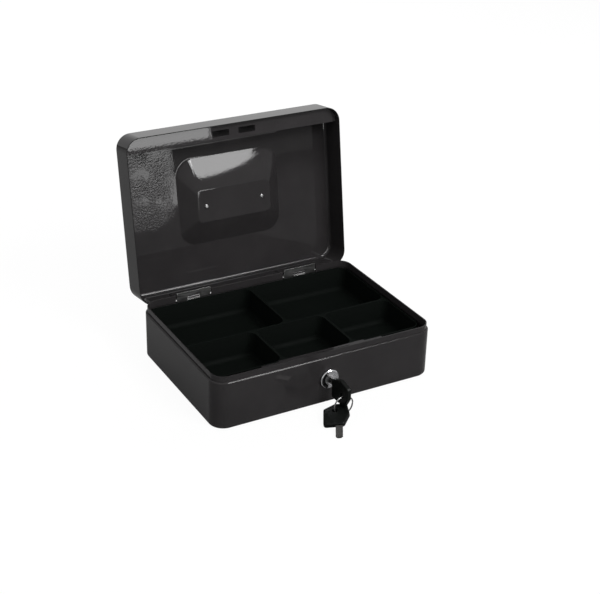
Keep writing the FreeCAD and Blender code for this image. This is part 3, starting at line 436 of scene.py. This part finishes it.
# Keys: nickel plated blades in moulded black bows, on a sprung wire ring.
# The blades are milled, so their sides show fine lengthwise marks.
nickel = new_finish("key_nickel", (0.06, 0.059, 0.057), rough=0.26, metal=1.0)
vary(nickel, "Roughness", noise(nickel, scale=200, detail=3, stretch=(1, 0.2, 1)), low=0.2, high=0.34)
vary(nickel, "Base Color", noise(nickel, scale=150, detail=3),
     low=(0.045, 0.044, 0.043), high=(0.075, 0.073, 0.071))
bow_black = new_finish("bow_black", (0.0016, 0.002, 0.0018), rough=0.42, specular=0.06)
vary(bow_black, "Roughness", noise(bow_black, scale=300, detail=2), low=0.36, high=0.5)
relief(bow_black, noise(bow_black, scale=2500, detail=2), strength=0.12, distance=0.00008)
for node in ("key_blade", "spare_key_blade"):
    dress(node, nickel)
for node in ("key_bow", "spare_key_bow"):
    dress(node, bow_black)

# Key ring: two turns of flattened spring wire, sprung apart at their ends.
# The wire is bright steel, dulled by rubbing.
ring_low, ring_high = (Vector(corner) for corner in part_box("key_ring"))
ring_middle = (ring_low + ring_high) / 2
ring_wire = (ring_high.y - ring_low.y) / 2
ring_radius = (ring_high.x - ring_low.x) / 2 - ring_wire
ring_turns = 1.97
flat_height, flat_width = 0.9, 0.46
ring_sizes = {"Radius": ring_radius, "Pitch": ring_wire, "Wire height": ring_wire * flat_height,
              "Wire width": ring_wire * flat_width, "Turns": ring_turns}
ring_start = ring_middle + Vector((0, ring_wire * ring_turns / 2, 0))
steps_per_turn = 72
wire_sides = 12
ring_crease = math.radians(40)
ring_steel = new_finish("ring_steel", (0.22, 0.22, 0.22), rough=0.26, metal=1.0)
vary(ring_steel, "Roughness", noise(ring_steel, scale=400, detail=2), low=0.2, high=0.36)
vary(ring_steel, "Base Color", noise(ring_steel, scale=300, detail=3),
     low=(0.17, 0.17, 0.17), high=(0.27, 0.27, 0.268))
coil = bpy.data.node_groups.new("split_ring", "GeometryNodeTree")
coil.interface.new_socket("Ring", in_out="OUTPUT", socket_type="NodeSocketGeometry")
settings = {}
for label, value in ring_sizes.items():
    socket = coil.interface.new_socket(label, in_out="INPUT", socket_type="NodeSocketFloat")
    settings[socket.identifier] = value
given = coil.nodes.new("NodeGroupInput").outputs
turns = coil.nodes.new("GeometryNodeCurveSpiral")
turns.inputs["Resolution"].default_value = steps_per_turn
coil.links.new(given["Turns"], turns.inputs["Rotations"])
coil.links.new(given["Radius"], turns.inputs["Start Radius"])
coil.links.new(given["Radius"], turns.inputs["End Radius"])
coil.links.new(combine(coil, "MULTIPLY", given["Pitch"], given["Turns"]), turns.inputs["Height"])
wire = coil.nodes.new("GeometryNodeCurvePrimitiveCircle")
wire.inputs["Resolution"].default_value = wire_sides
wire.inputs["Radius"].default_value = 1.0
oval = coil.nodes.new("ShaderNodeCombineXYZ")
coil.links.new(given["Wire height"], oval.inputs["X"])
coil.links.new(given["Wire width"], oval.inputs["Y"])
oval.inputs["Z"].default_value = 1.0
flatten = coil.nodes.new("GeometryNodeTransform")
coil.links.new(wire.outputs["Curve"], flatten.inputs["Geometry"])
coil.links.new(oval.outputs["Vector"], flatten.inputs["Scale"])
upright = coil.nodes.new("GeometryNodeSetCurveNormal")
upright.mode = "Z_UP"
coil.links.new(turns.outputs["Curve"], upright.inputs["Curve"])
drawn = coil.nodes.new("GeometryNodeCurveToMesh")
drawn.inputs["Fill Caps"].default_value = True
coil.links.new(upright.outputs["Curve"], drawn.inputs["Curve"])
coil.links.new(flatten.outputs["Geometry"], drawn.inputs["Profile Curve"])
stand = coil.nodes.new("GeometryNodeTransform")
stand.inputs["Rotation"].default_value = (math.radians(90), 0, 0)
stand.inputs["Translation"].default_value = ring_start
coil.links.new(drawn.outputs["Mesh"], stand.inputs["Geometry"])
solid = coil.nodes.new("GeometryNodeRealizeInstances")
coil.links.new(stand.outputs["Geometry"], solid.inputs["Geometry"])
plated = coil.nodes.new("GeometryNodeSetMaterial")
plated.inputs["Material"].default_value = ring_steel
coil.links.new(solid.outputs["Geometry"], plated.inputs["Geometry"])
coil.links.new(plated.outputs["Geometry"], coil.nodes.new("NodeGroupOutput").inputs["Ring"])
former = bpy.data.objects.new("split_ring_former", bpy.data.meshes.new("split_ring_former"))
scene.collection.objects.link(former)
winding = former.modifiers.new("split_ring", "NODES")
winding.node_group = coil
for identifier, value in settings.items():
    winding[identifier] = value
ready = former.evaluated_get(bpy.context.evaluated_depsgraph_get())
ring_mesh = bpy.data.meshes.new_from_object(ready)
bpy.data.objects.remove(former)
ring_mesh.name = "split_ring"
ring_mesh.shade_smooth()
ring_mesh.set_sharp_from_angle(angle=ring_crease)
split_ring = bpy.data.objects.new("split_ring", ring_mesh)
scene.collection.objects.link(split_ring)
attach(split_ring, "ring")
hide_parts("key_ring")
